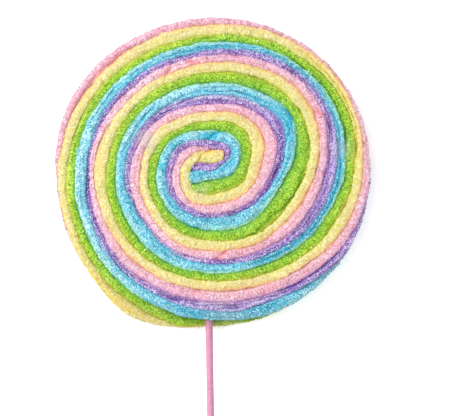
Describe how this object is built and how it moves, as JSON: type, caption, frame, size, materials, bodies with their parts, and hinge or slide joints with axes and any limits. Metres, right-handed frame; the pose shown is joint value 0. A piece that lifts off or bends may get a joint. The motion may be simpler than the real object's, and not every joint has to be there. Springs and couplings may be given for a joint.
{
  "type": "swirl lollipop",
  "caption": "Large round swirl lollipop: sugared pastel candy strips rolled up side by side into a flat disc on a straight paper stick, lying on its back.",
  "frame": {"origin": "on the underside, on the flat foot of the strips, below the middle of the swirl", "axes": "the swirl faces +Z, the stick points along -Y, +X is to the right as the swirl is seen"},
  "size_m": [0.1696, 0.3416, 0.0184],
  "materials": {
    "pink_candy": "matte soft candy coated in fine sugar",
    "yellow_candy": "matte soft candy coated in fine sugar",
    "green_candy": "matte soft candy coated in fine sugar",
    "blue_candy": "matte soft candy coated in fine sugar",
    "purple_candy": "matte soft candy coated in fine sugar",
    "pink_paper": "rolled paper, dyed pink, matte"
  },
  "bodies": {
    "root": {"pink_strip": "pink_candy", "yellow_strip": "yellow_candy", "green_strip": "green_candy", "blue_strip": "blue_candy", "purple_strip": "purple_candy", "stick": "pink_paper"}
  },
  "joints": []
}
